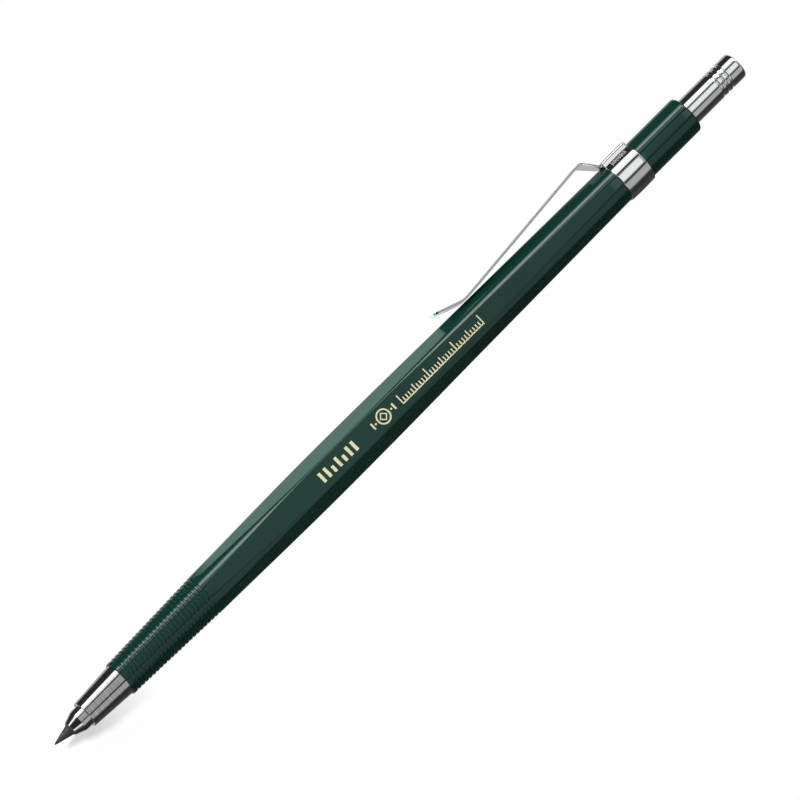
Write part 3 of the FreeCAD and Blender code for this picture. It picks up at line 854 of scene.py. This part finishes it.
cap_low, cap_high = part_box("push_cap")
cap_front = cap_low.x / MM
cap_rear = cap_high.x / MM
pointer_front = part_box("pointer_guide")[0].x / MM
cap_mouth_points = rounded([
    (cap_front, CAP_BORE_RADIUS, 0),
    (cap_front, CAP_RADIUS, CAP_MOUTH_ROUNDING),
    (cap_rear - CAP_GROOVES_FRONT_FROM_END, CAP_RADIUS, 0),
])
cap_groove_points = []
for index in reversed(range(CAP_GROOVES)):
    x = cap_rear - CAP_GROOVE_FROM_END - index * CAP_GROOVE_PITCH
    cap_groove_points += groove_points(x, CAP_RADIUS, CAP_GROOVE_WIDTH, CAP_GROOVE_DEPTH)
cap_end_points = rounded([
    (cap_rear - CAP_GROOVES_REAR_FROM_END, CAP_RADIUS, 0),
    (cap_rear, CAP_RADIUS, CAP_END_ROUNDING),
    (cap_rear, 0, 0),
])
cap_inside = [
    Vector((cap_rear - CAP_END_WALL, 0)),
    Vector((cap_rear - CAP_END_WALL, POINTER_RADIUS)),
    Vector((pointer_front, POINTER_RADIUS)),
    Vector((pointer_front, CAP_BORE_RADIUS)),
]
cap_outline = cap_mouth_points + cap_groove_points + cap_end_points + cap_inside
cap_piece = turn_piece("cap_shell", cap_outline, TURNED_SEGMENTS)
cap_piece.data.materials.append(turned_chrome)
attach(cap_piece, "cap")
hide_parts("push_cap")


# Inner works.
# Machined and drawn brass inside the barrel, and spring steel for the washer, ring and blades.
# They show at the barrel's mouth and when the cap is off.

turned_brass = grained_metal(
    "turned_brass", (0.60, 0.42, 0.16), (0.74, 0.55, 0.25), 0.22, (1, 0.08, 0.08), 3200, 0.0012
)
cover(("front_insert", "collet_body", "lead_tube", "spring_collar", "tube_end_bush"), turned_brass)

spring_steel = grained_metal(
    "spring_steel", (0.42, 0.42, 0.43), (0.56, 0.56, 0.57), 0.28, (1, 0.3, 0.3), 3000, 0.001
)
cover(("spring_seat_washer", "friction_ring", "pointer_blades"), spring_steel)


# Return spring.
# Coiled steel wire round the lead tube, between the washer on the nose and the tube's collar.
# It stays at its front end and shortens as the cap is pushed.

SPRING_WIRE = 0.32
SPRING_TURNS = 13
WIRE_SIDES = 12
COIL_STEPS = 36

spring_low, spring_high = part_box("return_spring")
coil_radius = spring_high.y / MM - SPRING_WIRE / 2
coil_front = spring_low.x / MM + SPRING_WIRE / 2
coil_length = (spring_high.x - spring_low.x) / MM - SPRING_WIRE
bpy.ops.object.select_all(action="DESELECT")
bpy.ops.mesh.primitive_circle_add(
    vertices=WIRE_SIDES, radius=SPRING_WIRE / 2 * MM,
    location=(coil_front * MM, coil_radius * MM, 0)
)
coil_piece = bpy.context.object
coil_piece.name = "spring_coil"
bpy.ops.object.transform_apply(location=True, rotation=True, scale=True)
apply_modifier(
    coil_piece, "coil", "SCREW", axis="X", angle=2 * math.pi, steps=COIL_STEPS,
    iterations=SPRING_TURNS, screw_offset=coil_length / SPRING_TURNS * MM
)
bpy.ops.object.mode_set(mode="EDIT")
bpy.ops.mesh.select_all(action="SELECT")
bpy.ops.mesh.remove_doubles(threshold=MERGE_DISTANCE * MM)
bpy.ops.mesh.select_all(action="DESELECT")
bpy.ops.mesh.select_non_manifold()
bpy.ops.mesh.fill()
bpy.ops.mesh.select_all(action="SELECT")
bpy.ops.mesh.normals_make_consistent(inside=False)
bpy.ops.object.mode_set(mode="OBJECT")
bpy.ops.object.shade_smooth_by_angle(angle=math.radians(50))
coil_piece.data.materials.clear()
coil_piece.data.materials.append(spring_steel)
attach(coil_piece, "barrel")
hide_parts("return_spring")
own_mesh(coil_piece)


# Lead pointer.
# A black moulded cone inside the cap, with the steel blades set in it.

black_plastic = moulded_plastic(
    "black_plastic", (0.012, 0.012, 0.013), (0.020, 0.020, 0.021), roughness=0.35, coat=0
)
cover(("pointer_guide",), black_plastic)


# Floor.
# A white sweep that glows evenly and takes a faint shadow only round the writing point.
# In the gloss it is bright on the clip's side, green along the flats, and dark elsewhere.

FLOOR_SIZE = 6
FLOOR_WHITE = 0.8
FLOOR_HALF_SPAN = 0.040
FLOOR_GLOSS_TOP = 0.82
# Green tint of the floor's glow in the gloss only: a painted green reflection along the flats.
FLOOR_GLOSS_TINT = (1.05, 1.52, 1.30)
SHADOW_TOP_UP = 0.42
# Each stop is a place in metres and a brightness or share there.
FLOOR_GLOSS_MIDDLE = [
    (-0.040, 0.03), (-0.0055, 0.06), (-0.004, 0.3), (0.004, 0.5), (0.0065, 0.82),
    (0.0155, 0.80), (0.0175, 0.03), (0.040, 0.03),
]
FLOOR_GLOSS_ENDS = [
    (-0.040, 0.03), (-0.0055, 0.06), (-0.004, 0.3), (0.0034, 0.5), (0.0076, 0.5),
    (0.0088, 0.03), (0.040, 0.03),
]
MIDDLE_STRETCH = [(-0.05, 0), (0.034, 0), (0.038, 1), (0.0885, 1), (0.0895, 0), (0.2, 0)]
SHADOW_STRETCH = [(-0.05, 0), (-0.014, 0), (-0.004, 0.95), (0.003, 0.95), (0.018, 0)]

floor_height = min(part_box("clip_ring")[0].z, -GRIP_REAR_RADIUS * MM)
bpy.ops.object.select_all(action="DESELECT")
bpy.ops.mesh.primitive_plane_add(size=FLOOR_SIZE, location=(aim.x, 0, floor_height))
floor = bpy.context.object
floor.name = "floor"
bpy.ops.object.transform_apply(location=True, rotation=True, scale=True)
floor_material, floor_tree, floor_shader, floor_place = start_material("floor_sweep")
floor_shader.inputs["Base Color"].default_value = (FLOOR_WHITE, FLOOR_WHITE, FLOOR_WHITE, 1)
floor_shader.inputs["Roughness"].default_value = 1
floor_shader.inputs["Specular IOR Level"].default_value = 0
split = floor_tree.nodes.new("ShaderNodeSeparateXYZ")
floor_tree.links.new(floor_place, split.inputs["Vector"])


def level_ramp(tree, value, low, high, stops, top):
    """A grey ramp of (place, level) stops over low to high, its levels shares of the top."""
    unroll = tree.nodes.new("ShaderNodeMapRange")
    unroll.inputs["From Min"].default_value = low
    unroll.inputs["From Max"].default_value = high
    tree.links.new(value, unroll.inputs["Value"])
    ramp = tree.nodes.new("ShaderNodeValToRGB")
    tree.links.new(unroll.outputs["Result"], ramp.inputs["Fac"])
    for index, (place, level) in enumerate(stops):
        share = (place - low) / (high - low)
        if index < 2:
            stop = ramp.color_ramp.elements[index]
            stop.position = share
        else:
            stop = ramp.color_ramp.elements.new(share)
        stop.color = (level / top, level / top, level / top, 1)
    return ramp.outputs["Color"]


def emitter(tree, colour, strength):
    """A glow of this strength, white unless a colour output is given."""
    node = tree.nodes.new("ShaderNodeEmission")
    node.inputs["Strength"].default_value = strength
    if colour is not None:
        tree.links.new(colour, node.inputs["Color"])
    return node.outputs["Emission"]


def pick_shader(tree, choice, first, second):
    """Mixes two shaders, from the first at choice 0 to the second at 1."""
    node = tree.nodes.new("ShaderNodeMixShader")
    tree.links.new(choice, node.inputs["Fac"])
    tree.links.new(first, node.inputs[1])
    tree.links.new(second, node.inputs[2])
    return node.outputs["Shader"]


def blend_outputs(tree, share, first, second):
    """Blends two colour outputs, from the first at share 0 to the second at 1."""
    node = tree.nodes.new("ShaderNodeMix")
    node.data_type = "RGBA"
    tree.links.new(share, node.inputs["Factor"])
    tree.links.new(first, node.inputs["A"])
    tree.links.new(second, node.inputs["B"])
    return node.outputs["Result"]


gloss_middle = level_ramp(
    floor_tree, split.outputs["Y"], -FLOOR_HALF_SPAN, FLOOR_HALF_SPAN, FLOOR_GLOSS_MIDDLE,
    FLOOR_GLOSS_TOP
)
gloss_ends = level_ramp(
    floor_tree, split.outputs["Y"], -FLOOR_HALF_SPAN, FLOOR_HALF_SPAN, FLOOR_GLOSS_ENDS,
    FLOOR_GLOSS_TOP
)
stretch_share = level_ramp(floor_tree, split.outputs["X"], -0.05, 0.2, MIDDLE_STRETCH, 1)
# The floor's glow in the gloss is tinted green along the flats, a painted green reflection.
gloss_tint = floor_tree.nodes.new("ShaderNodeMix")
gloss_tint.data_type = "RGBA"
gloss_tint.blend_type = "MULTIPLY"
gloss_tint.inputs["Factor"].default_value = 1
gloss_tint.inputs["B"].default_value = (*FLOOR_GLOSS_TINT, 1)
floor_tree.links.new(gloss_middle, gloss_tint.inputs["A"])
gloss_level = blend_outputs(floor_tree, stretch_share, gloss_ends, gloss_tint.outputs["Result"])
shadow_share = level_ramp(floor_tree, split.outputs["X"], -0.05, 0.08, SHADOW_STRETCH, 1)
shadow_mix = pick_shader(
    floor_tree, shadow_share, emitter(floor_tree, None, 1.0), floor_shader.outputs["BSDF"]
)
lift = floor_tree.nodes.new("ShaderNodeAddShader")
floor_tree.links.new(shadow_mix, lift.inputs[0])
top_up = floor_tree.nodes.new("ShaderNodeMath")
top_up.operation = "MULTIPLY"
top_up.inputs[1].default_value = SHADOW_TOP_UP
floor_tree.links.new(shadow_share, top_up.inputs[0])
top_light = floor_tree.nodes.new("ShaderNodeEmission")
floor_tree.links.new(top_up.outputs["Value"], top_light.inputs["Strength"])
floor_tree.links.new(top_light.outputs["Emission"], lift.inputs[1])
ray = floor_tree.nodes.new("ShaderNodeLightPath")
floor_look = pick_shader(
    floor_tree, ray.outputs["Is Camera Ray"], floor_shader.outputs["BSDF"], lift.outputs["Shader"]
)
floor_glow = emitter(floor_tree, gloss_level, FLOOR_GLOSS_TOP)
floor_look = pick_shader(floor_tree, ray.outputs["Is Glossy Ray"], floor_look, floor_glow)
floor_tree.links.new(floor_look, floor_tree.nodes["Material Output"].inputs["Surface"])
floor.data.materials.append(floor_material)


# Studio.
# Long soft panels beside the pencil put lengthwise stripes in the gloss, with dark gaps between.
# Two soft lamps, unseen in the gloss, light the body: a fill and a weak low one at the side.
# White cards over the ring and the cap show only in the gloss.

AMBIENT = 0.10
LAMP_DISTANCE = 0.9
CARD_GLOW = 0.92
CARD_HEIGHT = 15.5
CARD_HALF_WIDTH = 4.3
CARD_SHIFT = 3.0
RING_CARD_MARGIN = 1.2
CAP_CARD_MARGIN = 2
PANELS_END_LOW = -0.40
PANELS_END_HIGH = -0.30
PANEL_TOP = 5.0
# Each stop is an angle in degrees about the pencil's axis and the brightness there.
PANELS = [
    (-180, 0.4), (-92, 0.03), (-70, 0.03), (-66, 1.0), (-62, 1.1), (-60, 5.0), (-50, 5.0),
    (-48, 1.1), (-34, 1.0), (-31, 0.03), (-24, 0.03), (-21, 0.43), (0, 0.40), (21, 0.39),
    (24, 0.04), (31, 0.05), (35, 0.42), (65, 0.45), (76, 0.05), (92, 0.03), (180, 0.4),
]
FRONT_PANELS = [
    (-180, 0.4), (-90, 0.05), (-66, 0.05), (-62, 1.2), (-47, 1.2), (-42, 0.02), (36, 0.02),
    (42, 0.9), (58, 0.9), (66, 0.05), (180, 0.4),
]

world = bpy.data.worlds.new("studio")
world.use_nodes = True
bpy.context.scene.world = world
sky = world.node_tree
direction = sky.nodes.new("ShaderNodeTexCoord").outputs["Generated"]
parts = sky.nodes.new("ShaderNodeSeparateXYZ")
sky.links.new(direction, parts.inputs["Vector"])
flip = sky.nodes.new("ShaderNodeMath")
flip.operation = "MULTIPLY"
flip.inputs[1].default_value = -1
sky.links.new(parts.outputs["Y"], flip.inputs[0])
angle_node = sky.nodes.new("ShaderNodeMath")
angle_node.operation = "ARCTAN2"
sky.links.new(flip.outputs["Value"], angle_node.inputs[0])
sky.links.new(parts.outputs["Z"], angle_node.inputs[1])


def panel_ramp(panels):
    """The panels' brightness by angle about the pencil's axis, as shares of the brightest."""
    stops = [(math.radians(angle), level) for angle, level in panels]
    return level_ramp(sky, angle_node.outputs["Value"], -math.pi, math.pi, stops, PANEL_TOP)


# The long panels end in front of the writing point, and two short ones stand there.
front_share = sky.nodes.new("ShaderNodeMapRange")
front_share.inputs["From Min"].default_value = PANELS_END_LOW
front_share.inputs["From Max"].default_value = PANELS_END_HIGH
sky.links.new(parts.outputs["X"], front_share.inputs["Value"])
panel_light = sky.nodes["Background"]
panel_light.inputs["Strength"].default_value = PANEL_TOP
panel_level = blend_outputs(
    sky, front_share.outputs["Result"], panel_ramp(FRONT_PANELS), panel_ramp(PANELS)
)
sky.links.new(panel_level, panel_light.inputs["Color"])
ambient = sky.nodes.new("ShaderNodeBackground")
ambient.inputs["Strength"].default_value = AMBIENT
backdrop = sky.nodes.new("ShaderNodeBackground")
seen = sky.nodes.new("ShaderNodeLightPath")
sky_look = pick_shader(
    sky, seen.outputs["Is Diffuse Ray"], panel_light.outputs["Background"],
    ambient.outputs["Background"]
)
sky_look = pick_shader(
    sky, seen.outputs["Is Camera Ray"], sky_look, backdrop.outputs["Background"]
)
sky.links.new(sky_look, sky.nodes["World Output"].inputs["Surface"])


def add_lamp(name, angle, forward, length, width, power):
    """A soft lamp aimed at the pencil from this angle about its axis, unseen in the gloss."""
    data = bpy.data.lights.new(name, "AREA")
    data.shape = "RECTANGLE"
    data.size = length
    data.size_y = width
    data.energy = power
    lamp = bpy.data.objects.new(name, data)
    bpy.context.scene.collection.objects.link(lamp)
    lamp.location = (
        aim.x + forward,
        LAMP_DISTANCE * math.sin(math.radians(angle)),
        LAMP_DISTANCE * math.cos(math.radians(angle)),
    )
    lamp.rotation_euler = (aim - lamp.location).to_track_quat("-Z", "Y").to_euler()
    lamp.visible_glossy = False
    lamp.visible_camera = False


add_lamp("side_lamp", angle=84, forward=0, length=0.5, width=0.12, power=1.4)
add_lamp("fill_lamp", angle=26, forward=-0.45, length=0.22, width=0.16, power=6.8)

card_material = bpy.data.materials.new("white_card")
card_material.use_nodes = True
card_tree = card_material.node_tree
card_glow = emitter(card_tree, None, CARD_GLOW)
card_tree.links.new(card_glow, card_tree.nodes["Material Output"].inputs["Surface"])
for name, start, end in (
    ("ring_card", ring_front - RING_CARD_MARGIN, ring_rear + RING_CARD_MARGIN),
    ("cap_card", barrel_rear, cap_rear + CAP_CARD_MARGIN),
):
    bpy.ops.object.select_all(action="DESELECT")
    bpy.ops.mesh.primitive_plane_add(
        size=MM, location=(((start + end) / 2 + CARD_SHIFT) * MM, 0, CARD_HEIGHT * MM)
    )
    card = bpy.context.object
    card.name = name
    card.scale = (end - start, 2 * CARD_HALF_WIDTH, 1)
    bpy.ops.object.transform_apply(location=True, rotation=True, scale=True)
    card.data.materials.append(card_material)
    card.visible_camera = False
    card.visible_diffuse = False
    card.visible_shadow = False
    card.visible_transmission = False
bpy.context.scene.view_settings.view_transform = "Standard"
